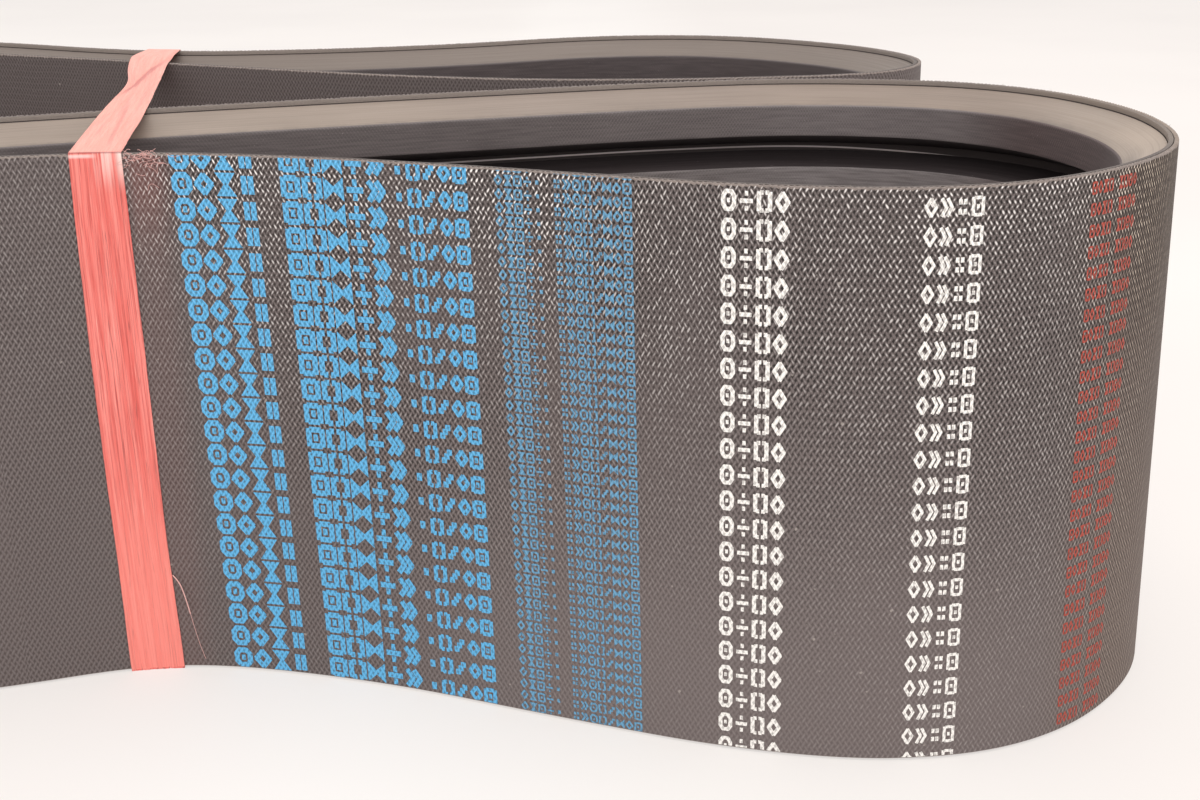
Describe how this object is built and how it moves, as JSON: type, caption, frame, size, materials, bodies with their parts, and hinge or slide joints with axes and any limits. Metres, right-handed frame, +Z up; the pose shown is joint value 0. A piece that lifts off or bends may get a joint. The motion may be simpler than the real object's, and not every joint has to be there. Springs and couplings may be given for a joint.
{
  "type": "v belt",
  "caption": "Joined multi-rib V belt standing on edge, folded into two lobes and tied round the middle with a ribbon.",
  "frame": {"origin": "middle of the bounding box at the surface the belt stands on", "axes": "+X along the folded bundle towards the two free lobes, +Y from the printed near strand to the back, +Z up, across the width of the belt"},
  "size_m": [0.5202, 0.338, 0.1386],
  "materials": {
    "woven_cover": "woven, rubber-soaked",
    "inner_ply": "woven, rubber-soaked",
    "cord_gum": "matte",
    "rib_rubber": "matte, cut",
    "rib_fabric": "woven, dusty",
    "split_film": "satin, fibrous"
  },
  "bodies": {
    "root": {"band_outer_ply": "woven_cover", "band_inner_ply": "inner_ply", "rib_1": "rib_rubber", "cord_layer_1": "cord_gum", "rib_facing_1": "rib_fabric", "rib_2": "rib_rubber", "cord_layer_2": "cord_gum", "rib_facing_2": "rib_fabric", "rib_3": "rib_rubber", "cord_layer_3": "cord_gum", "rib_facing_3": "rib_fabric", "rib_4": "rib_rubber", "cord_layer_4": "cord_gum", "rib_facing_4": "rib_fabric", "rib_5": "rib_rubber", "cord_layer_5": "cord_gum", "rib_facing_5": "rib_fabric", "rib_6": "rib_rubber", "cord_layer_6": "cord_gum", "rib_facing_6": "rib_fabric", "rib_7": "rib_rubber", "cord_layer_7": "cord_gum", "rib_facing_7": "rib_fabric", "tie_ribbon": "split_film", "tie_knot": "split_film", "tie_tail_1": "split_film", "tie_tail_2": "split_film"}
  },
  "joints": []
}
